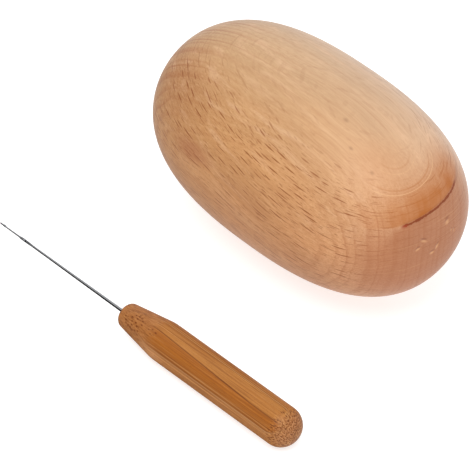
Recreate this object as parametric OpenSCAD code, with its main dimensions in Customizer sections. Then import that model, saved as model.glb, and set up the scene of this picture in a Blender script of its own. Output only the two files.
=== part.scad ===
// A turned darning egg with the fine latch hook that lies beside it.
// The hook picks up dropped stitches: its latch closes over the beak as it is drawn back.
// Both lie on a table at z = 0. The hook runs along X, and its tip points to -X.

/* [Egg] */
// Length of the egg from end to end
egg_length = 113.6; // [95:0.2:130]
// Diameter of the egg at its middle
egg_d = 65; // [50:0.5:75]
// Fullness of the sides: a higher value keeps the middle straighter
egg_side_power = 2.53; // [2.1:0.01:3.2]
// Bluntness of the ends: a higher value makes them blunter
egg_end_power = 2.95; // [2.1:0.01:3.4]
// Turn of the egg on the table, against the line of the hook, in degrees
egg_turn = -1.3; // [-8:0.1:8]

/* [Place of the hook] */
// Clear width of table between the egg and the handle
hook_gap = 32.2; // [10:0.2:60]
// How far the rear of the handle reaches past the end of the egg
hook_reach = 20.5; // [0:0.5:40]
// Roll of the whole hook about its own axis as it lies, in degrees
hook_roll = 35.5; // [-90:0.5:90]

/* [Handle] */
// Length of the handle from its nose to its rear end
handle_length = 77.6; // [60:0.2:110]
// Diameter of the straight part
handle_d = 12.8; // [9:0.1:18]
// Length of the tapered nose
nose_length = 17.6; // [8:0.2:30]
// Diameter of the nose at its front face, before its edge is rounded
nose_d = 7.8; // [4:0.1:8.6]
// Radius of the nose's front edge
nose_round = 1.6; // [0.5:0.1:2.5]
// Radius that blends the nose into the straight part
shoulder_round = 20; // [5:1:40]
// Radius of the rear end's edge
rear_round = 6; // [2:0.1:6.2]

/* [Bamboo plies] */
// Thickness of the middle ply
ply_t = 5.5; // [4:0.1:6]
// Distance of the front glue line from the needle's axis, on the side to which the hook opens
glue_line = 4.5; // [2.5:0.1:5]

/* [Needle] */
// Length of needle that stands out of the handle, up to the hook's tip
needle_out = 61.3; // [45:0.1:80]
// Length of needle fixed in the handle
tang_length = 28; // [15:1:45]
// Diameter of the needle where it enters the handle
needle_d = 1.06; // [0.9:0.02:1.6]
// Diameter of the needle just behind the cheeks
waist_d = 0.66; // [0.6:0.02:0.8]
// Diameter of the stem in front of the cheeks
stem_d = 0.5; // [0.42:0.02:0.6]

/* [Hook] */
// Diameter of the wire round the bend
wire_d = 0.38; // [0.3:0.02:0.42]
// Height of the hook, over the outside of the bend
hook_height = 1.3; // [1.1:0.02:1.6]
// Length of the beak behind the bend
beak_length = 1.7; // [1.2:0.05:2.2]
// Diameter of the beak at its end
beak_end_d = 0.26; // [0.2:0.02:0.3]
// Slope of the beak towards the stem, in degrees
beak_slope = 5; // [0:0.5:8]

/* [Cheeks and rivet] */
// Distance from the hook's tip back to the rivet
rivet_back = 11.5; // [9:0.1:14]
// Distance of the rivet from the needle's axis, on the side to which the hook opens
rivet_rise = 0.1; // [0:0.02:0.14]
// Diameter of the rivet
rivet_d = 0.34; // [0.28:0.02:0.36]
// Diameter of the rivet's peened heads
head_d = 0.5; // [0.4:0.02:0.6]
// Height of each head over its cheek
head_h = 0.06; // [0.03:0.01:0.1]
// Diameter of the swelling that carries the rivet
cheek_d = 0.96; // [0.94:0.02:1.2]
// Width over the flats ground on the two cheeks
cheek_w = 0.76; // [0.7:0.02:0.84]
// Length over which the swelling keeps its full diameter
cheek_length = 2; // [1.6:0.1:3]
// Length of the slope from the swelling to the stem in front
cheek_front_slope = 1.4; // [0.8:0.1:2.5]
// Length of the slope from the swelling to the waist behind
cheek_rear_slope = 3; // [1.5:0.1:5]
// Length over which the saw cut for the latch runs out in front of the swelling
slot_front_run = 3.6; // [3.4:0.1:4.5]
// Length over which it runs out behind
slot_rear_run = 4.5; // [4:0.1:6]

/* [Latch] */
// Thickness of the latch's blade
latch_t = 0.28; // [0.22:0.02:0.32]
// Diameter of the latch's eye
latch_eye_d = 0.64; // [0.6:0.02:0.68]
// Height of the blade beside its eye
blade_root_h = 0.4; // [0.3:0.02:0.46]
// Height of the blade beside its spoon
blade_tip_h = 0.26; // [0.2:0.02:0.34]
// Length of the spoon that covers the beak
spoon_length = 2; // [1.4:0.1:2.4]
// Width of the spoon
spoon_w = 0.68; // [0.6:0.02:0.8]
// Running clearance between the latch's eye and the rivet
pin_play = 0.03; // [0.01:0.01:0.05]
// Running clearance on each side of the blade
side_play = 0.03; // [0.02:0.01:0.05]
// Clearance between the spoon's seat and the beak
beak_play = 0.06; // [0.04:0.01:0.08]

/* [Hidden] */
$fn = 64;

// Rings of the egg's outline, an odd number so that one lies square to the table
egg_rings = 61;
// Steps in each rounded stretch of the handle's outline
arc_steps = 10;
// Reach of a cut past the surface that it opens
over = 1;
// The bend is this much thinner in radius than the end of the stem, and thicker than the root of the beak
let_in_step = 0.01;
// Length by which the bend is let into the stem, and the beak into the bend
let_in = 0.03;
// Length of stem between the saw cut and the face where the hooked end's node begins
node_margin = 0.4;

egg_r = egg_d / 2;
handle_r = handle_d / 2;
nose_r = nose_d / 2;

// Outline of the egg along its own axis, as [distance from the middle, radius]
function egg_outline_point(t) = [
    egg_length / 2 * t,
    egg_r * pow(1 - pow(abs(t), egg_side_power), 1 / egg_end_power)
];
egg_outline = [for (i = [0:egg_rings]) egg_outline_point(sin(180 * i / egg_rings - 90))];

// How far the egg reaches from its middle in a direction at an angle to its own axis
function egg_reach(angle) = max([
    for (p = egg_outline) abs(p[0] * cos(angle)) + p[1] * abs(sin(angle))
]);

// The whole set is centred on the origin, seen from above
egg_reach_x = egg_reach(egg_turn);
egg_reach_y = egg_reach(90 - egg_turn);
rear_x = egg_length / 2 + hook_reach;
nose_x = rear_x - handle_length;
tip_x = nose_x - needle_out;
hook_y = -(egg_r + hook_gap + handle_r);
centre_x = (max(rear_x, egg_reach_x) + min(tip_x, -egg_reach_x)) / 2;
centre_y = (egg_reach_y + hook_y - handle_r) / 2;

// Points along an arc, from one angle to another
function arc(centre, radius, from, to) = [
    for (i = [0:arc_steps])
        let (a = from + (to - from) * i / arc_steps)
            centre + radius * [cos(a), sin(a)]
];

// Outline of the handle, as [distance from the nose face, radius]
nose_angle = atan((handle_r - nose_r) / nose_length);
nose_edge = nose_round / tan((90 + nose_angle) / 2);
shoulder_edge = shoulder_round * tan(nose_angle / 2);
handle_outline = concat(
    [[0, 0]],
    arc([nose_round, nose_r - nose_edge], nose_round, 180, 90 + nose_angle),
    arc([nose_length + shoulder_edge, handle_r - shoulder_round], shoulder_round, 90 + nose_angle, 90),
    arc([handle_length - rear_round, handle_r - rear_round], rear_round, 90, 0),
    [[handle_length, 0]]
);

// Places along the needle, measured from the hook's tip towards the handle
bend_r = (hook_height - wire_d) / 2;
bend_back = wire_d / 2 + bend_r;
cheek_front = rivet_back - cheek_length / 2;
cheek_rear = rivet_back + cheek_length / 2;
beak_start_back = bend_back + bend_r * sin(beak_slope);
beak_start_rise = bend_r + bend_r * cos(beak_slope);
beak_end_back = beak_start_back + beak_length * cos(beak_slope);
beak_end_rise = beak_start_rise - beak_length * sin(beak_slope);

// The wire is one piece, kept as two nodes that meet face to face in front of the saw cut
stem_rear = cheek_front - cheek_front_slope;
node_face = cheek_front - slot_front_run - node_margin;
stem_root_r = wire_d / 2 + let_in_step;
node_face_r = stem_root_r
    + (stem_d / 2 - stem_root_r) * (node_face - bend_back) / (stem_rear - bend_back);
stem_outline = [
    [bend_back, 0],
    [bend_back, stem_root_r],
    [node_face, node_face_r],
    [node_face, 0]
];
needle_outline = [
    [node_face, 0],
    [node_face, node_face_r],
    [stem_rear, stem_d / 2],
    [cheek_front, cheek_d / 2],
    [cheek_rear, cheek_d / 2],
    [cheek_rear + cheek_rear_slope, waist_d / 2],
    [needle_out, needle_d / 2],
    [needle_out + tang_length, needle_d / 2],
    [needle_out + tang_length, 0]
];

// The latch's line from the rivet to the middle of its spoon
latch_reach = rivet_back - beak_end_back;
latch_climb = beak_end_rise - rivet_rise;
latch_length = norm([latch_reach, latch_climb]);
latch_angle = atan2(latch_climb, latch_reach);
slot_w = latch_t + 2 * side_play;
slot_floor = rivet_rise - latch_eye_d / 2 - side_play;

// Outline of the spoon along the latch, as [distance from its middle, radius]
spoon_steps = 2 * arc_steps;
spoon_outline = [
    for (i = [0:spoon_steps])
        let (a = 180 * i / spoon_steps)
            [-spoon_length / 2 * cos(a), spoon_w / 2 * sin(a)]
];

// Turns an outline of [distance, radius] about the X axis
module turned(outline) {
    rotate([0, 90, 0])
        rotate_extrude()
            polygon([for (p = outline) [p[1], p[0]]]);
}

// The hook's own frame, from a place on the needle's axis: X towards the handle, Z where the hook opens
module on_axis(place_x) {
    translate([place_x - centre_x, hook_y - centre_y, handle_r]) rotate([hook_roll, 0, 0]) children();
}

module at_hook_tip() {
    on_axis(tip_x) children();
}

module at_nose() {
    on_axis(nose_x) children();
}

module at_rivet() {
    at_hook_tip() translate([rivet_back, 0, rivet_rise]) children();
}

// A pin along Y, centred on the origin
module cross_pin(d, length) {
    rotate([90, 0, 0]) cylinder(d = d, h = length, center = true);
}

// One piece of wood, turned all over
module egg() {
    color("burlywood")
        translate([-centre_x, -centre_y, egg_r])
            rotate([0, 0, egg_turn])
                turned(egg_outline);
}

// The handle between two planes at these distances from the needle's axis
module ply(low, high) {
    at_nose()
        intersection() {
            turned(handle_outline);
            translate([-over, -handle_d, low])
                cube([handle_length + 2 * over, 2 * handle_d, high - low]);
        }
}

module handle_front_ply() {
    color("peru") ply(glue_line, handle_d);
}

// The middle ply holds the needle's tang
module handle_middle_ply() {
    color("sienna")
        difference() {
            ply(glue_line - ply_t, glue_line);
            at_nose()
                translate([-over, 0, 0])
                    rotate([0, 90, 0])
                        cylinder(d = needle_d, h = tang_length + over);
        }
}

module handle_back_ply() {
    color("chocolate") ply(-handle_d, glue_line - ply_t);
}

// Ring of wire that carries the stem up and over, and meets the beak at its own slope
module hook_bend() {
    let_in_angle = atan(let_in / bend_r);
    translate([bend_back, 0, bend_r])
        rotate([90, 0, 0])
            rotate([0, 0, 90 - beak_slope])
                rotate_extrude(angle = 180 + beak_slope + let_in_angle)
                    translate([bend_r, 0])
                        circle(d = wire_d);
}

// The beak with its rounded end, grown all round by a margin
module beak(margin = 0) {
    root_r = wire_d / 2 - let_in_step + margin;
    end_r = beak_end_d / 2 + margin;
    translate([beak_start_back, 0, beak_start_rise])
        rotate([0, beak_slope, 0])
            turned(concat(
                [[-let_in, 0], [-let_in, root_r]],
                arc([beak_length, 0], end_r, 90, 0)
            ));
}

// Saw cut in which the latch swings, drawn from the side
module latch_slot() {
    front_floor = cheek_front - cheek_front_slope / 2;
    rotate([90, 0, 0])
        translate([0, 0, -slot_w / 2])
            linear_extrude(slot_w)
                polygon([
                    [cheek_front - slot_front_run, cheek_d],
                    [cheek_front - slot_front_run, stem_d / 2],
                    [front_floor, slot_floor],
                    [cheek_rear, slot_floor],
                    [cheek_rear + slot_rear_run, cheek_d / 2],
                    [cheek_rear + slot_rear_run, cheek_d]
                ]);
}

// Grinds the two sides of the swelling flat
module cheek_flats() {
    for (side = [-1, 1])
        translate([cheek_front - cheek_front_slope, side * (cheek_w + cheek_d) / 2, 0])
            translate([0, -cheek_d / 2, -cheek_d])
                cube([cheek_length + cheek_front_slope + cheek_rear_slope, cheek_d, 2 * cheek_d]);
}

// The wire from its tang to the cheeks, slotted for the latch
module needle() {
    color("silver")
        at_hook_tip()
            difference() {
                turned(needle_outline);
                cheek_flats();
                latch_slot();
                translate([rivet_back, 0, rivet_rise]) cross_pin(rivet_d, 2 * cheek_d);
            }
}

// The hooked end of the same wire
module needle_hook() {
    color("silver")
        at_hook_tip() {
            turned(stem_outline);
            hook_bend();
            beak();
        }
}

module rivet() {
    color("lightgray")
        at_rivet() {
            cross_pin(rivet_d, cheek_w);
            for (side = [-1, 1])
                translate([0, side * (cheek_w + head_h) / 2, 0]) cross_pin(head_d, head_h);
        }
}

// The latch before the beak's seat is cut: eye at the origin, spoon towards -X
module latch_blank() {
    cross_pin(latch_eye_d, latch_t);
    rotate([90, 0, 0])
        translate([0, 0, -latch_t / 2])
            linear_extrude(latch_t)
                polygon([
                    [0, -blade_root_h / 2],
                    [0, blade_root_h / 2],
                    [-latch_length, blade_tip_h / 2],
                    [-latch_length, -blade_tip_h / 2]
                ]);
    intersection() {
        translate([-latch_length, 0, 0]) turned(spoon_outline);
        translate([-latch_length - spoon_length, -spoon_w, -blade_tip_h / 2])
            cube([2 * spoon_length, 2 * spoon_w, spoon_w]);
    }
}

module latch() {
    color("gainsboro")
        difference() {
            at_rivet() rotate([0, latch_angle, 0]) latch_blank();
            at_rivet() cross_pin(rivet_d + 2 * pin_play, 2 * latch_t);
            // The seat is open below, so that the spoon lifts off the beak
            at_hook_tip() {
                beak(beak_play);
                translate([0, -beak_end_d / 2 - beak_play, 0])
                    cube([beak_end_back, beak_end_d + 2 * beak_play, beak_end_rise]);
            }
        }
}

egg();
handle_front_ply();
handle_middle_ply();
handle_back_ply();
needle();
needle_hook();
latch();
rivet();
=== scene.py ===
import math

import bmesh
import bpy
from mathutils import Matrix, Vector


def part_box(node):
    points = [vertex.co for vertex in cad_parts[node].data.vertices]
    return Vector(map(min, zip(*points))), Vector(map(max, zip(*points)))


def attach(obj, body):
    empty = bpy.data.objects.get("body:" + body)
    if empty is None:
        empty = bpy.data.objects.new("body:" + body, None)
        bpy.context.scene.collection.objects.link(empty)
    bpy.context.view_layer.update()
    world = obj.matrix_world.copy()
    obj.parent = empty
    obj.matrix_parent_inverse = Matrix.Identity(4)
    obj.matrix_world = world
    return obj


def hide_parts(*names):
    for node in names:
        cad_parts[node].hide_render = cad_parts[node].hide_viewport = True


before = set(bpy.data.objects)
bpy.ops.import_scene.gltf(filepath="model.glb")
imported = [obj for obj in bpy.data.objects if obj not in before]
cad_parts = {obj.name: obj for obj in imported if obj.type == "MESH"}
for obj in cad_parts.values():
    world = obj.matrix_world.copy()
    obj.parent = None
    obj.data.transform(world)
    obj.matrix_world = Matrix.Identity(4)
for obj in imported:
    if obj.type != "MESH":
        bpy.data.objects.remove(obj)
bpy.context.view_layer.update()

MM = 0.001

# Driving sizes, in metres and degrees
EGG_LENGTH = 113.6 * MM
EGG_TURN = -1.3
EGG_SIDE_POWER = 2.53
EGG_END_POWER = 2.95
NOSE_LENGTH = 17.6 * MM
NOSE_D = 7.8 * MM
NOSE_ROUND = 1.6 * MM
SHOULDER_ROUND = 20 * MM
REAR_ROUND = 6 * MM
PLY_T = 5.5 * MM
GLUE_LINE = 4.5 * MM
HOOK_ROLL = 35.5
NEEDLE_D = 1.06 * MM
TANG_LENGTH = 28 * MM

# Fineness of the meshes. The end of the egg that has dents has closer steps along its outline.
TINY = 1e-7
OUTLINE_POINTS = 8000
EGG_STEP = 0.6 * MM
DENTED_STEP = 0.2 * MM
DENTED_FROM = 55.3 * MM
EGG_SIDES = 320
HANDLE_SIDES = 128
ARC_STEPS = 24

# Places that come from the frame
egg_low, egg_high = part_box("egg")
EGG_R = (egg_high.z - egg_low.z) / 2
EGG_CENTRE = (egg_low + egg_high) / 2
PLIES = ["handle_front_ply", "handle_middle_ply", "handle_back_ply"]
ply_lows, ply_highs = zip(*[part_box(ply) for ply in PLIES])
HANDLE_LOW = Vector(map(min, *ply_lows))
HANDLE_HIGH = Vector(map(max, *ply_highs))
HANDLE_R = (HANDLE_HIGH.z - HANDLE_LOW.z) / 2
HANDLE_LENGTH = HANDLE_HIGH.x - HANDLE_LOW.x
HANDLE_CENTRE = (HANDLE_LOW + HANDLE_HIGH) / 2
NOSE_CENTRE = Vector((HANDLE_LOW.x, HANDLE_CENTRE.y, HANDLE_CENTRE.z))

# The camera, from the photograph: its square frame in pixels, and where the egg's middle lies in it
PHOTO_PIXELS = 470
EGG_PIXEL = (308.65, 156.49)
CAMERA_AZIMUTH = 50.16
CAMERA_ELEVATION = 35.18
CAMERA_DISTANCE = 1.5
FOCAL_PIXELS = 4942
SENSOR = 36

# The studio. The dark corner's edge is two stops of a ramp, from the room's light to the corner's.
FLOOR_REACH = 4
FLOOR_LIGHT = 0.7
ROOM_LIGHT = 0.8
CORNER_LIGHT = 0.01
CORNER_EDGE = (0.42, 0.58)
DARK_CORNER = (-0.63, -0.6, -0.5)
LAMP_TOWARDS = (0.22, -0.34, 0.86)
LAMP_DISTANCE = 1.8
LAMP_SIZE = 1.3
LAMP_POWER = 20

# From here on, tones are 0 to 255 steps of red, green and blue. Places in a finish are in
# millimetres in the piece's own frame: from the egg's middle, or from the middle of the handle's
# nose face.

# The egg's grain: T crosses the rays, R crosses the growth rings, L runs along the fibres
TOWARDS_BARK = Vector((0.02, -1, 0))
GRAIN_T = Vector((0.18, -0.05, 0.983)).normalized()
GRAIN_R = (TOWARDS_BARK - GRAIN_T * GRAIN_T.dot(TOWARDS_BARK)).normalized()
GRAIN_L = GRAIN_R.cross(GRAIN_T)
PITH_DISTANCE = 130
RING_WIDTH = 2.1

# The egg's ground: the linear strength of red, green and blue at its middle, and the drift of each
# per millimetre. The drift is partly the wood's own tone and partly painted light: paler and less
# orange towards the far side, as a painted reflection of the pale room, and a little redder low down,
# as painted fill light.
GROUND_WITH_PAINTED_LIGHT = [
    (0.98, (0.0013, 0.0025, -0.0014)),
    (0.568, (0.0007, 0.0044, 0.0007)),
    (0.335, (0.0006, 0.0053, 0.0)),
]

# Rays: cell and half size, each (along, through, across), and a number that shifts the pattern
LARGE_RAYS = ((6.0, 17, 1.6), (3.6, 9, 0.2), 0.0)
SMALL_RAYS = ((2.8, 9, 1.0), (1.4, 4.5, 0.15), 41.0)

# The check across the egg's near end: its height as a square, a slope and a level in Y. Above it the
# growth rings are faint, round a centre and out to a reach, with a core.
CHECK_CURVE = (0.0065, 0.1755, 9.68)
FAINT_RINGS = ((46, -3, 22), (20, 24, 16), 0.3)

# The fine arcs at the near end: the normal of their planes, and the centre, reach and core of the
# place where they show
ARC_NORMAL = (0.427, -0.124, 0.896)
ARCS_SHOWN = ((49, -3, 20), (12, 17, 8), 0.4)

# Patches of tone: centre, reach along each axis, core as a share of the reach, strength, and tone
FAR_PATCH = ((-34, -20, 17), (32, 19, 16), 0.0, 0.5, (156, 102, 64))
NEAR_PATCH = ((43, -8, 23), (15, 14, 11), 0.0, 0.35, (188, 128, 80))
LOW_PATCH = ((-18, -31, 6), (13, 9, 5), 0.2, 0.45, (158, 90, 54))
CHECK_START = ((55.5, -8.8, 8.4), (2, 1.8, 0.9), 0.0, 0.6, (156, 48, 16))
# Painted light on the handle: a paler patch lifting the shade low down where the nose's taper meets
# the barrel
NOSE_PAINTED_LIGHT = ((18, -5.5, 2.5), (9, 3.5, 4.5), 0.2, 0.7, (196, 138, 90))
# Darker in a small ring on the nose round the needle
DARK_ROUND_NEEDLE = ((0, 0, 0), (1.0, 1.0, 1.0), 0.6, 0.8, (60, 34, 20))

# Small knots and marks on the egg: centre, reach along each axis, and strength
MARKS = [
    ((26, -7.3, 30), (1.7, 1.0, 1.5), 0.34),
    ((43.7, -11.9, 22.5), (1.2, 0.8, 1.2), 0.35),
    ((34.3, -12.2, 26.4), (1.4, 0.7, 1.0), 0.35),
    ((-39.9, -26.1, 7.7), (0.5, 0.5, 0.5), 0.7),
]

# Small dents in the near end: place across and up, reach along and across, turn in degrees, depth.
# Each has a raised rim, whose height goes with DENT_RIM and which ends at DENT_REACH times its reach.
DENT_RIM = 0.35
DENT_REACH = 3
DENTS = [
    (-2.3, 1.2, 1.5, 0.5, -26, 0.26),
    (-4.6, -0.9, 1.1, 0.45, 16, 0.22),
    (2.9, -2.9, 1.2, 0.5, 57, 0.24),
    (1.0, -4.5, 1.2, 0.45, 10, 0.22),
    (6.9, 4.2, 1.2, 0.9, 40, 0.12),
    (8.7, 0.2, 0.7, 0.35, 90, 0.16),
    (10.0, -0.5, 0.8, 0.4, 90, 0.18),
]

# Tones of the egg
# Pale streaks, partly real grain and partly painted highlight, as they are laid on most strongly on
# top
PALE_STREAK_AND_HIGHLIGHT = (224, 184, 148)
LATE_WOOD = (154, 88, 46)
DARK_FIBRE = (152, 88, 42)
PALE_FIBRE = (226, 184, 140)
PORE = (146, 82, 36)
LARGE_RAY = (130, 64, 18)
SMALL_RAY = (132, 72, 32)
LOW_END = (158, 92, 52)
END_RAY = (218, 172, 122)
STAIN = (168, 94, 28)
CHECK_HALO = (134, 66, 30)
CHECK_LINE = (128, 54, 6)
DARK_ARC = (172, 110, 62)
PALE_ARC = (228, 184, 136)
MARK = (112, 62, 32)
# Painted shade above each dent and painted highlight below it
DENT_PAINTED_SHADE = (126, 62, 26)
DENT_PAINTED_HIGHLIGHT = (222, 172, 126)

# Tones of the bamboo
NOSE = (165, 106, 56)
PALE_THREAD = (206, 150, 92)
SIDE_THREAD = (90, 38, 4)
END_GRAIN = (142, 88, 50)
BUNDLE = (92, 42, 10)
BUNDLE_RIM = (200, 146, 100)
NOSE_SPOT = (104, 46, 8)
DARK_LINE = (112, 58, 18)
PALE_LINE = (212, 156, 94)
JOINT_EDGE = (120, 66, 20)
JOINT = (206, 156, 104)

# Where the dark thread of each layer lies across it, at two places along it
THREAD_ALONG = (20, 62)
THREAD_ACROSS = (1.2, -0.55)

# Where the nose's taper cuts through the bundles: centre, reach and core
NOSE_CUTS = [
    ((8.5, -0.8, 4.6), (7.5, 3.8, 2.2), 0.5),
    ((17.2, -0.5, 6.2), (3, 1.2, 1), 0.5),
]

# The handle's layers: mesh, node, slot and the heights of the two faces above the needle. Then, for
# the bamboo, the tones of its pale side, its deep side and its threads, and the share of its bundles
# that show dark.
LAYERS = [
    ("front_ply", "handle_front_ply", "bamboo_front", GLUE_LINE, HANDLE_R,
     (176, 117, 56), (158, 92, 30), (118, 62, 22), 0.5),
    ("middle_ply", "handle_middle_ply", "bamboo_middle", GLUE_LINE - PLY_T, GLUE_LINE,
     (156, 96, 40), (174, 114, 60), (112, 60, 26), 0.6),
    ("back_ply", "handle_back_ply", "bamboo_back", -HANDLE_R, GLUE_LINE - PLY_T,
     (178, 124, 84), (172, 116, 74), (128, 80, 48), 0.6),
]

# Steel: its nodes, its tone, the tone of its tempered end, and its roughness. The tone changes
# between two places along X in the shared frame.
TEMPERED = (-50, -59)
STEELS = {
    "needle_steel": (["needle", "needle_hook"], (174, 175, 178), (116, 117, 121), 0.08),
    "latch_steel": (["latch", "rivet"], (160, 161, 164), (150, 151, 154), 0.1),
}


def linear(v):
    return v / 12.92 if v <= 0.04045 else ((v + 0.055) / 1.055) ** 2.4


def rgba(value):
    """A tone made linear for a socket. Anything else is left as it is."""
    if not isinstance(value, tuple):
        return value
    return tuple(linear(v / 255) for v in value) + (1,)


class Finish:
    """A node material. A method that returns a value adds its nodes and returns their output."""

    def __init__(self, name):
        self.material = bpy.data.materials.new(name)
        self.material.use_nodes = True
        self.tree = self.material.node_tree
        self.shader = self.tree.nodes["Principled BSDF"]
        self.colour = None

    def feed(self, socket, value):
        if isinstance(value, bpy.types.NodeSocket):
            self.tree.links.new(value, socket)
        else:
            socket.default_value = value

    def add(self, kind, output, settings=None, inputs=None):
        node = self.tree.nodes.new(kind)
        for name, value in (settings or {}).items():
            setattr(node, name, value)
        for key, value in (inputs or {}).items():
            self.feed(node.inputs[key], value)
        return node.outputs[output]

    def calc(self, operation, *values):
        return self.add("ShaderNodeMath", 0, {"operation": operation}, dict(enumerate(values)))

    def times(self, first, *others):
        for value in others:
            first = self.calc("MULTIPLY", first, value)
        return first

    def plus(self, a, b):
        return self.calc("ADD", a, b)

    def minus(self, a, b):
        return self.calc("SUBTRACT", a, b)

    def vector(self, operation, *values, output="Vector"):
        inputs = dict(enumerate(values))
        return self.add("ShaderNodeVectorMath", output, {"operation": operation}, inputs)

    def dot(self, a, b):
        return self.vector("DOT_PRODUCT", a, tuple(b), output="Value")

    def join(self, x, y, z):
        return self.add("ShaderNodeCombineXYZ", 0, inputs={0: x, 1: y, 2: z})

    def split(self, a):
        node = self.tree.nodes.new("ShaderNodeSeparateXYZ")
        self.feed(node.inputs[0], a)
        return list(node.outputs)

    def noise(self, at, rates, detail=2.0, roughness=0.5, output=0):
        """Noise with its own rate of change along each axis."""
        at = self.vector("MULTIPLY", at, rates)
        inputs = {"Vector": at, "Scale": 1.0, "Detail": detail, "Roughness": roughness}
        return self.add("ShaderNodeTexNoise", output, inputs=inputs)

    def bands(self, value, rate):
        """Noise that changes with one value alone."""
        return self.noise(self.join(value, 0.0, 0.0), (rate, 1, 1), detail=1.0)

    def cells(self, at, dimensions="3D"):
        """The nearest scattered seed's distance, random colour and place."""
        node = self.tree.nodes.new("ShaderNodeTexVoronoi")
        node.voronoi_dimensions = dimensions
        self.feed(node.inputs["Vector"], at)
        self.feed(node.inputs["Scale"], 1.0)
        return node.outputs["Distance"], node.outputs["Color"], node.outputs["Position"]

    def span(self, value, low, high, to_low=0.0, to_high=1.0, smooth=True):
        """The value carried from one range to another, and held at the ends."""
        settings = {"interpolation_type": "SMOOTHSTEP" if smooth else "LINEAR"}
        ends = {"From Min": low, "From Max": high, "To Min": to_low, "To Max": to_high}
        return self.add("ShaderNodeMapRange", 0, settings, {"Value": value, **ends})

    def mix(self, share, a, b):
        inputs = {0: share, 6: rgba(a), 7: rgba(b)}
        return self.add("ShaderNodeMix", 2, {"data_type": "RGBA"}, inputs)

    def place(self, origin, turn):
        """The place in the piece's own frame, in millimetres."""
        at = self.add("ShaderNodeTexCoord", "Object")
        inputs = {0: at, "Location": tuple(origin), "Rotation": turn, "Scale": (MM, MM, MM)}
        return self.add("ShaderNodeMapping", 0, {"vector_type": "TEXTURE"}, inputs)

    def facing(self, direction):
        """How squarely the surface faces a direction, or its opposite, from 0 to 1."""
        normal = self.add("ShaderNodeTexCoord", "Normal")
        return self.calc("ABSOLUTE", self.dot(normal, direction))

    def near(self, at, centre, reach, core, turn=0):
        """1 round a centre, out to the core's share of its reach, and falling to 0 at its reach."""
        turns = (math.radians(turn), 0, 0)
        inputs = {0: at, "Location": centre, "Rotation": turns, "Scale": reach}
        offset = self.add("ShaderNodeMapping", 0, {"vector_type": "TEXTURE"}, inputs)
        return self.span(self.vector("LENGTH", offset, output="Value"), 1.0, core)

    def paint(self, tone, *shares):
        """Lays a tone over the colour, as strongly as the product of the shares."""
        self.colour = self.mix(self.times(*shares), self.colour, tone)

    def patch(self, at, centre, reach, core, strength, tone):
        self.paint(tone, self.near(at, centre, reach, core), strength)

    def bump(self, height, distance):
        return self.add("ShaderNodeBump", 0, inputs={"Height": height, "Distance": distance})

    def set(self, **sockets):
        for name, value in sockets.items():
            self.feed(self.shader.inputs[name.replace("_", " ")], rgba(value))
        return self.material


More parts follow.
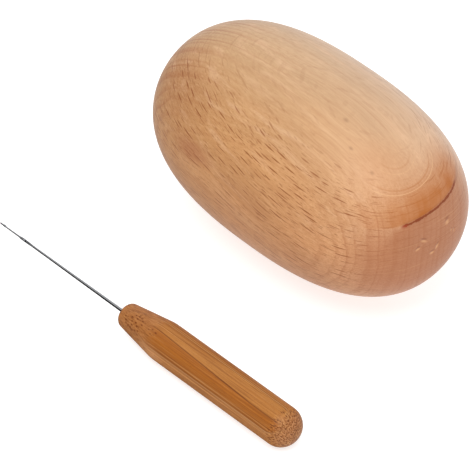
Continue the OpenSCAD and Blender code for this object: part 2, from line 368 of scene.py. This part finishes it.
class Beech(Finish):
    """The egg's wood. Each layer is painted over those before it, so their order matters."""

    def __init__(self):
        super().__init__("beech")
        self.own = self.place(EGG_CENTRE, (0, 0, math.radians(EGG_TURN)))
        self.x, self.y, self.z = self.split(self.own)
        self.wander = self.noise(self.own, (0.02, 0.05, 0.05), output=1)
        shift = self.vector("SUBTRACT", self.wander, (0.5, 0.5, 0.5))
        self.here = self.vector("ADD", self.own, self.vector("MULTIPLY", shift, (5, 5, 5)))
        self.grain = self.join(*[self.dot(self.here, axis) for axis in (GRAIN_L, GRAIN_R, GRAIN_T)])
        turned = Matrix.Rotation(math.radians(EGG_TURN), 3, "Z")
        self.end_grain = self.facing(turned @ GRAIN_L)
        self.bark_side = self.span(self.facing(turned @ GRAIN_T), 0.62, 0.95, 1.0, 0.15)

    def make(self):
        self.ground()
        self.growth_rings()
        fibres = self.fibres_and_pores()
        large = self.all_rays()
        line = self.check()
        self.arcs()
        self.marks()
        height = self.times(self.minus(fibres, self.plus(large, line)), 0.5)
        return self.set(
            Base_Color=self.colour,
            Roughness=self.span(fibres, 0.3, 0.8, 0.48, 0.62),
            Normal=self.bump(height, 0.03 * MM),
            Specular_IOR_Level=0.3,
            Coat_Weight=0.05,
            Coat_Roughness=0.3,
            Sheen_Weight=0.2,
            Sheen_Roughness=0.35,
        )

    def ground(self):
        """Slow changes of tone, partly painted light: orange low on the bark side, pale on top from
        painted highlight, and pale on the far side from painted reflection.
        """
        clouds = self.noise(self.grain, (0.018, 0.08, 0.08), detail=3.0, roughness=0.55)
        light = self.span(clouds, 0.25, 0.75, 0.53, 0.65, smooth=False)
        channels = []
        for strength, drift in GROUND_WITH_PAINTED_LIGHT:
            channels.append(self.times(light, self.plus(strength, self.dot(self.own, drift))))
        self.colour = self.add("ShaderNodeCombineColor", 0, inputs=dict(enumerate(channels)))
        self.patch(self.here, *FAR_PATCH)
        # Pale streaks along the grain, much stronger on top: partly real grain, partly painted
        # highlight
        streaks = self.noise(self.grain, (0.012, 0.3, 0.3), detail=3.0, roughness=0.6)
        self.paint(PALE_STREAK_AND_HIGHLIGHT, self.span(streaks, 0.5, 0.7), self.span(self.z, -5, 25, 0.1, 0.32))

    def growth_rings(self):
        """Growth rings about a far pith, with a thin darker line where each ends."""
        _, depth, across = self.split(self.grain)
        out = self.plus(depth, PITH_DISTANCE)
        squares = self.plus(self.times(out, out), self.times(across, across))
        from_pith = self.calc("SQRT", squares)
        uneven = self.times(self.bands(from_pith, 0.16), 3.0)
        years = self.plus(self.calc("DIVIDE", from_pith, RING_WIDTH), uneven)
        ring = self.calc("FRACT", years)
        faint = self.near(self.own, *FAINT_RINGS)
        late_wood = self.times(
            self.span(ring, 0.4, 0.9),
            self.span(ring, 1.0, 0.92),
            self.span(self.end_grain, 0.15, 0.6, 0.3, 1.0),
            self.span(self.x, -46, -20, 1.7, 1.0),
            self.span(faint, 0.0, 1.0, 1.0, 0.15),
        )
        self.paint(LATE_WOOD, late_wood, self.span(self.bands(years, 0.7), 0.35, 0.65, 0.1, 0.4))

    def fibres_and_pores(self):
        fibres = self.noise(self.grain, (0.04, 1.9, 1.9), detail=5.0, roughness=0.66)
        pores = self.noise(self.grain, (0.7, 4.5, 4.5), detail=3.0, roughness=0.6)
        side = self.bark_side
        self.paint(DARK_FIBRE, self.span(fibres, 0.44, 0.74), self.span(side, 0, 1, 0.2, 0.3))
        self.paint(PALE_FIBRE, self.span(fibres, 0.5, 0.28), self.span(side, 0, 1, 0.16, 0.24))
        self.paint(PORE, self.span(pores, 0.5, 0.7), side, 0.32)
        return fibres

    def rays(self, cell, half, salt):
        """Rays cut by the surface: short spindles along the grain."""
        shifted = self.vector("ADD", self.grain, (salt, 0.3 * salt, 0.7 * salt))
        at = self.vector("DIVIDE", shifted, cell)
        _, random, seed = self.cells(at)
        strength, stretch, _ = self.split(random)
        along, through, across = self.split(
            self.vector("MULTIPLY", self.vector("SUBTRACT", at, seed), cell)
        )
        long = self.times(half[0], self.span(stretch, 0.0, 1.0, 0.45, 1.25, smooth=False))
        end = self.calc("DIVIDE", along, long)
        depth = self.calc("DIVIDE", through, half[1])
        side = self.calc("DIVIDE", self.calc("ABSOLUTE", across), half[2])
        spindle = self.plus(self.plus(self.times(end, end), self.times(depth, depth)), side)
        return self.times(self.span(spindle, 1.1, 0.55), self.span(strength, 0.05, 0.6))

    def all_rays(self):
        """Long thin lines on the end grain, dark spindles on the bark side, faint flakes on top."""
        large = self.rays(*LARGE_RAYS)
        shown = self.times(self.bark_side, self.span(self.end_grain, 0.45, 0.85, 0.8, 0.4))
        self.paint(LARGE_RAY, large, shown)
        self.paint(SMALL_RAY, self.rays(*SMALL_RAYS), self.bark_side, 0.5)
        return large

    def check(self):
        """A dark check across the near end, an orange stain above it and pinker wood below."""
        x, y, z = self.x, self.y, self.z
        square, slope, level = CHECK_CURVE
        curve = self.plus(self.times(self.plus(self.times(y, square), slope), y), level)
        above = self.minus(z, curve)
        off = self.calc("ABSOLUTE", above)

        blur = self.span(y, -9, -20, 1.2, 12.0)
        below = self.span(self.calc("DIVIDE", above, blur), 1.0, -1.0)
        self.paint(LOW_END, self.span(x, 42, 56), below, 0.75)
        end_rays = self.span(self.noise(self.grain, (0.05, 0.06, 2.6)), 0.58, 0.68)
        on_end_grain = self.span(self.end_grain, 0.4, 0.8)
        self.paint(END_RAY, end_rays, on_end_grain, self.span(z, 2, 14, 0.1, 0.25))

        at_end = self.span(x, 38, 50)
        stain = self.times(
            self.span(above, -0.3, 0.8),
            self.span(above, 16, 1.0),
            at_end,
            self.span(y, -25, -2),
            self.span(y, 25, 9),
        )
        blotches = self.noise(self.own, (0.22, 0.22, 0.22), detail=1.0)
        self.paint(STAIN, stain, self.span(blotches, 0.3, 0.65, 0.82, 1.0))

        thick = self.span(self.noise(self.own, (0.9, 0.9, 0.9)), 0.3, 0.7, 0.2, 0.58)
        line = self.times(
            self.span(self.calc("DIVIDE", off, thick), 1.3, 0.6),
            at_end,
            self.span(y, -10.2, -8.6),
            self.span(y, 14.5, 12.5),
        )
        self.paint(CHECK_HALO, self.span(off, 1.4, 0.0), at_end, self.span(y, -11, -8), 0.4)
        self.paint(CHECK_LINE, line)
        self.patch(self.own, *CHECK_START)
        self.patch(self.own, *NEAR_PATCH)
        return line

    def arcs(self):
        """Fine nested arcs where the surface runs nearly along the grain above the check."""
        wave = self.times(self.split(self.wander)[2], 0.5)
        level = self.plus(self.dot(self.own, ARC_NORMAL), wave)
        arcs = self.bands(level, 3.1)
        shown = self.near(self.own, *ARCS_SHOWN)
        self.paint(DARK_ARC, self.span(arcs, 0.5, 0.36), shown, 0.4)
        self.paint(PALE_ARC, self.span(arcs, 0.55, 0.66), shown, 0.38)

    def marks(self):
        """Single marks and knots, and for each dent a painted shade above it and a painted highlight
        below it.
        """
        self.patch(self.here, *LOW_PATCH)
        for centre, reach, strength in MARKS:
            self.patch(self.own, centre, reach, 0.0, strength, MARK)
        end = EGG_LENGTH / MM / 2
        for across, up, long, wide, turn, _ in DENTS:
            # Painted shade just above each dent and a painted highlight (edge) just below it, as
            # light from above falls
            dent_shade_place = ((end, across, up + 0.9 * wide), (2, 1.3 * long, 1.2 * wide))
            edge = ((end, across, up - 0.6 * wide), (2, 1.2 * long, 1.3 * wide))
            self.paint(DENT_PAINTED_SHADE, self.near(self.own, *dent_shade_place, 0.0, turn), 0.7)
            self.paint(DENT_PAINTED_HIGHLIGHT, self.near(self.own, *edge, 0.0, turn), 0.55)


class Bamboo(Finish):
    """One layer of the handle, of split bamboo. Each tone is painted over those before it."""

    def __init__(self, name):
        super().__init__(name)
        self.own = self.place(NOSE_CENTRE, (math.radians(HOOK_ROLL), 0, 0))
        self.x, self.across, self.up = self.split(self.own)
        self.end = self.facing((1, 0, 0))

    def make(self, pale, deep, thread, crowd):
        threads = self.threads(pale, deep, thread)
        bundles = self.bundles(crowd)
        self.nose_spots()
        self.joints()
        # Darker round the needle where it enters the nose
        self.patch(self.own, *DARK_ROUND_NEEDLE)
        return self.set(
            Base_Color=self.colour,
            Roughness=self.span(threads, 0.3, 0.8, 0.42, 0.6),
            Normal=self.bump(self.minus(threads, bundles), 0.04 * MM),
            Specular_IOR_Level=0.2,
            Coat_Weight=0.04,
            Coat_Roughness=0.35,
        )

    def threads(self, pale, deep, thread):
        """Deeper in tone towards one side, nearer the skin, with a dark thread at the change."""
        boundary = self.span(self.x, *THREAD_ALONG, *THREAD_ACROSS, smooth=False)
        side = self.minus(self.across, boundary)
        clouds = self.noise(self.own, (0.03, 0.35, 0.35), detail=3.0)
        shallow = self.times(self.span(side, -0.5, 0.5), self.span(clouds, 0.2, 0.7, 1.0, 0.6))
        self.colour = self.mix(shallow, deep, pale)
        self.paint(NOSE, self.span(self.x, 21, 14, 0.0, 0.85))
        # Painted light: a paler patch lifting the shade where the nose meets the barrel
        self.patch(self.own, *NOSE_PAINTED_LIGHT)
        threads = self.noise(self.own, (0.04, 2.6, 2.6), detail=4.0, roughness=0.7)
        self.paint(thread, self.span(threads, 0.46, 0.68), self.span(shallow, 0, 1, 0.5, 0.75))
        self.paint(PALE_THREAD, self.span(threads, 0.47, 0.3), 0.35)
        specks = self.noise(self.own, (1.2, 3.0, 3.0), roughness=0.7)
        self.paint(thread, self.span(specks, 0.56, 0.72), 0.3)
        on_side = self.span(self.calc("ABSOLUTE", side), 0.26, 0.08)
        broken = self.span(clouds, 0.3, 0.6, 0.95, 0.6)
        self.paint(SIDE_THREAD, on_side, broken, self.span(self.x, 14, 20))
        return threads

    def bundles(self, crowd):
        """Bundles of fibre along the whole length: fine lines on the sides and dots on the ends."""
        drift = self.noise(self.own, (0.03, 0.05, 0.05))
        section = self.join(self.plus(self.across, drift), self.up, 0.0)
        distance, random, _ = self.cells(self.vector("MULTIPLY", section, (2.1, 2.1, 0)), "2D")
        dark = self.span(self.split(random)[0], 1 - crowd, 1.1 - crowd)
        bundles = self.times(self.span(distance, 0.5, 0.15), dark)
        bundles = self.times(bundles, self.span(self.end, 0.08, 0.3, 0.22, 0.9))
        self.paint(END_GRAIN, self.span(self.end, 0.25, 0.8, 0.0, 0.6))
        self.paint(BUNDLE, bundles)
        rim = self.span(distance, 0.42, 0.58)
        self.paint(BUNDLE_RIM, rim, self.span(self.end, 0.3, 0.8, 0.0, 0.35))
        return bundles

    def nose_spots(self):
        """Dark spots where the nose cuts through the bundles."""
        distance, random, _ = self.cells(self.vector("MULTIPLY", self.own, (0.75, 1.5, 1.5)))
        dark = self.span(self.split(random)[0], 0.2, 0.4)
        spots = self.times(self.span(distance, 0.5, 0.3), dark)
        cuts = [self.near(self.own, *cut) for cut in NOSE_CUTS]
        self.paint(NOSE_SPOT, spots, self.calc("MAXIMUM", *cuts), 0.85)

    def joints(self):
        """Glue along the two joints, and the streaks beside them."""
        heights = (GLUE_LINE / MM, (GLUE_LINE - PLY_T) / MM)
        glue = [self.calc("ABSOLUTE", self.minus(self.up, height)) for height in heights]
        glue = self.calc("MINIMUM", *glue)
        lines = self.noise(self.own, (0.02, 2.6, 2.6), detail=1.0)
        beside = self.times(self.span(glue, 1.7, 0.2), self.span(self.x, 12, 24))
        self.paint(DARK_LINE, self.span(lines, 0.5, 0.58), beside, 0.42)
        self.paint(PALE_LINE, self.span(lines, 0.48, 0.4), beside, 0.35)
        on_sides = self.span(self.end, 0.1, 0.6, 1.0, 0.2)
        shown = self.times(self.span(self.x, 8, 20, 0.1, 1.0), on_sides)
        self.paint(JOINT_EDGE, self.span(glue, 0.34, 0.2), shown, 0.45)
        self.paint(JOINT, self.span(glue, 0.16, 0.06), shown, 0.4)


def steel(name, tone, end_tone, roughness):
    """Drawn steel. Its tone changes along X to that of a tempered end."""
    f = Finish(name)
    own = f.place((0, 0, 0), (0, 0, 0))
    f.colour = f.mix(f.span(f.split(own)[0], *TEMPERED), tone, end_tone)
    drawn = f.noise(own, (0.12, 7, 7), detail=3.0)
    f.paint((0, 0, 0), f.span(drawn, 0.3, 0.7, 0.0, 0.12))
    return f.set(
        Base_Color=f.colour,
        Metallic=1.0,
        Roughness=f.span(drawn, 0.3, 0.7, roughness, roughness + 0.08),
        Normal=f.bump(drawn, 0.001 * MM),
    )


def white_floor():
    """A white table that glows a little, so that shadows on it stay faint."""
    f = Finish("floor")
    mottle = f.noise(f.add("ShaderNodeTexCoord", "Object"), (400, 400, 400))
    return f.set(
        Base_Color=f.mix(mottle, (186, 186, 186), (190, 190, 190)),
        Roughness=0.9,
        Emission_Color=(255, 255, 255),
        Emission_Strength=FLOOR_LIGHT,
    )


def add_piece(name, build, origin, turn, finish):
    """Makes an object of a mesh built in its own frame. The object itself stays at the origin."""
    turned = Matrix.Rotation(math.radians(turn[0]), 4, turn[1])
    build.transform(Matrix.Translation(origin) @ turned)
    mesh = bpy.data.meshes.new(name)
    build.to_mesh(mesh)
    build.free()
    mesh.materials.append(finish)
    piece = bpy.data.objects.new(name, mesh)
    bpy.context.scene.collection.objects.link(piece)
    return piece


def revolve(outline, sides):
    """A closed smooth mesh turned about X. The outline of (distance, radius) ends on the axis."""
    build = bmesh.new()
    turns = [2 * math.pi * i / sides for i in range(sides)]
    rings = []
    for x, r in outline:
        if r < TINY:
            rings.append([build.verts.new((x, 0, 0))])
        else:
            rings.append([build.verts.new((x, r * math.cos(a), r * math.sin(a))) for a in turns])
    for one, two in zip(rings, rings[1:]):
        for i in range(sides):
            j = (i + 1) % sides
            corners = [one[i % len(one)], one[j % len(one)], two[j % len(two)], two[i % len(two)]]
            build.faces.new(list(dict.fromkeys(corners))).smooth = True
    bmesh.ops.recalc_face_normals(build, faces=build.faces)
    return build


def even_steps(points, step):
    """Points along an outline at even steps of its own length."""
    gone = [0.0]
    for (ax, ay), (bx, by) in zip(points, points[1:]):
        gone.append(gone[-1] + math.hypot(bx - ax, by - ay))
    count = round(gone[-1] / step)
    out = []
    k = 0
    for i in range(count + 1):
        want = gone[-1] * i / count
        while k < len(gone) - 2 and gone[k + 1] < want:
            k += 1
        share = (want - gone[k]) / (gone[k + 1] - gone[k])
        out.append(tuple(a + (b - a) * share for a, b in zip(points[k], points[k + 1])))
    return out


def egg_outline():
    """Outline of the egg from its far end, with closer steps at the end that has dents."""
    points = []
    for i in range(OUTLINE_POINTS + 1):
        t = math.sin(math.pi * (i / OUTLINE_POINTS - 0.5))
        r = EGG_R * max(0, 1 - abs(t) ** EGG_SIDE_POWER) ** (1 / EGG_END_POWER)
        points.append((EGG_LENGTH / 2 * t, r))
    start = next(i for i, point in enumerate(points) if point[0] > DENTED_FROM)
    return even_steps(points[:start + 1], EGG_STEP)[:-1] + even_steps(points[start:], DENTED_STEP)


def press_dents(build):
    near_end = [vert for vert in build.verts if vert.co.x > DENTED_FROM]
    for across, up, long, wide, turn, depth in DENTS:
        along = Vector((math.cos(math.radians(turn)), math.sin(math.radians(turn))))
        for vert in near_end:
            offset = Vector((vert.co.y / MM - across, vert.co.z / MM - up))
            size = (offset.dot(along) / long) ** 2 + (offset.cross(along) / wide) ** 2
            if size < DENT_REACH ** 2:
                vert.co.x += depth * MM * (DENT_RIM * size - 1) * math.exp(-size)


def make_egg():
    build = revolve(egg_outline(), EGG_SIDES)
    press_dents(build)
    egg = add_piece("turned_egg", build, EGG_CENTRE, (EGG_TURN, "Z"), Beech().make())
    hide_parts("egg")
    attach(egg, "egg")


def arc(centre, radius, start, end):
    turns = [math.radians(start + (end - start) * i / ARC_STEPS) for i in range(ARC_STEPS + 1)]
    return [(centre[0] + radius * math.cos(a), centre[1] + radius * math.sin(a)) for a in turns]


def handle_outline(bored):
    """Outline of the handle from its nose face, with the needle's bore or without it."""
    angle = math.degrees(math.atan((HANDLE_R - NOSE_D / 2) / NOSE_LENGTH))
    edge = NOSE_ROUND / math.tan(math.radians((90 + angle) / 2))
    shoulder = SHOULDER_ROUND * math.tan(math.radians(angle / 2))
    bore = [(TANG_LENGTH, 0), (TANG_LENGTH, NEEDLE_D / 2), (0, NEEDLE_D / 2)]
    return (
        (bore if bored else [(0, 0)])
        + arc((NOSE_ROUND, NOSE_D / 2 - edge), NOSE_ROUND, 180, 90 + angle)
        + arc((NOSE_LENGTH + shoulder, HANDLE_R - SHOULDER_ROUND), SHOULDER_ROUND, 90 + angle, 90)
        + arc((HANDLE_LENGTH - REAR_ROUND, HANDLE_R - REAR_ROUND), REAR_ROUND, 90, 0)
        + [(HANDLE_LENGTH, 0)]
    )


def is_cut(face):
    """Whether a face is one of a layer's flat cuts: level, and with many corners."""
    return abs(face.normal.z) > 0.9999 and len(face.verts) > 8


def make_ply(name, node, slot, low, high, *bamboo):
    """The turned handle between two heights above the needle, square to the glue lines."""
    build = revolve(handle_outline(bored=low < 0 < high), HANDLE_SIDES)
    for height, outward in ((low, -1), (high, 1)):
        if abs(height) >= HANDLE_R:
            continue
        every = build.verts[:] + build.edges[:] + build.faces[:]
        cut = bmesh.ops.bisect_plane(build, geom=every, dist=TINY, plane_co=(0, 0, height),
                                     plane_no=(0, 0, outward), clear_outer=True)
        rim = [e for e in cut["geom_cut"] if isinstance(e, bmesh.types.BMEdge)]
        bmesh.ops.edgenet_fill(build, edges=rim)
    for edge in build.edges:
        edge.smooth = not any(is_cut(face) for face in edge.link_faces)
    ply = add_piece(name, build, NOSE_CENTRE, (HOOK_ROLL, "X"), Bamboo(slot).make(*bamboo))
    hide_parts(node)
    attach(ply, "hook")


def finish_steel():
    for name, (nodes, *look) in STEELS.items():
        finish = steel(name, *look)
        for node in nodes:
            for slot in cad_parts[node].material_slots:
                slot.material = finish


def make_floor():
    build = bmesh.new()
    bmesh.ops.create_grid(build, x_segments=1, y_segments=1, size=FLOOR_REACH)
    floor = add_piece("floor", build, (0, 0, 0), (0, "Z"), white_floor())
    floor.visible_glossy = False


def make_lamp():
    """A broad lamp overhead."""
    towards = Vector(LAMP_TOWARDS)
    lamp = bpy.data.objects.new("key", bpy.data.lights.new("key", "AREA"))
    lamp.data.shape = "DISK"
    lamp.data.size = LAMP_SIZE
    lamp.data.energy = LAMP_POWER
    lamp.location = towards.normalized() * LAMP_DISTANCE
    lamp.rotation_mode = "QUATERNION"
    lamp.rotation_quaternion = towards.to_track_quat("Z", "Y")
    bpy.context.scene.collection.objects.link(lamp)


def make_room():
    """A pale room with one dark corner, which gives the steel its dark side."""
    world = bpy.data.worlds.new("studio")
    world.use_nodes = True
    tree = world.node_tree
    corner = tree.nodes.new("ShaderNodeVectorMath")
    corner.operation = "DOT_PRODUCT"
    corner.inputs[1].default_value = Vector(DARK_CORNER).normalized()
    ramp = tree.nodes.new("ShaderNodeValToRGB")
    lights = (ROOM_LIGHT, CORNER_LIGHT)
    for stop, place, light in zip(ramp.color_ramp.elements, CORNER_EDGE, lights):
        stop.position = place
        stop.color = (light, light, light, 1)
    tree.links.new(tree.nodes.new("ShaderNodeTexCoord").outputs["Generated"], corner.inputs[0])
    tree.links.new(corner.outputs["Value"], ramp.inputs[0])
    tree.links.new(ramp.outputs[0], tree.nodes["Background"].inputs["Color"])
    bpy.context.scene.world = world
    bpy.context.scene.view_settings.view_transform = "Standard"


def make_camera():
    azimuth = math.radians(CAMERA_AZIMUTH)
    elevation = math.radians(CAMERA_ELEVATION)
    right = Vector((math.cos(azimuth), math.sin(azimuth), 0))
    away = Vector((-math.sin(azimuth), math.cos(azimuth), 0))
    up = away * math.sin(elevation) + Vector((0, 0, math.cos(elevation)))
    forward = away * math.cos(elevation) - Vector((0, 0, math.sin(elevation)))
    metres_per_pixel = CAMERA_DISTANCE / FOCAL_PIXELS
    across, below = [(p - PHOTO_PIXELS / 2) * metres_per_pixel for p in EGG_PIXEL]
    camera = bpy.data.objects.new("camera", bpy.data.cameras.new("camera"))
    camera.data.sensor_width = SENSOR
    camera.data.lens = SENSOR * FOCAL_PIXELS / PHOTO_PIXELS
    turn = Matrix((right, up, -forward)).transposed().to_4x4()
    place = EGG_CENTRE - right * across + up * below - forward * CAMERA_DISTANCE
    camera.matrix_world = Matrix.Translation(place) @ turn
    bpy.context.scene.collection.objects.link(camera)
    bpy.context.scene.camera = camera


make_camera()
make_room()
make_lamp()
make_floor()
make_egg()
for layer in LAYERS:
    make_ply(*layer)
finish_steel()
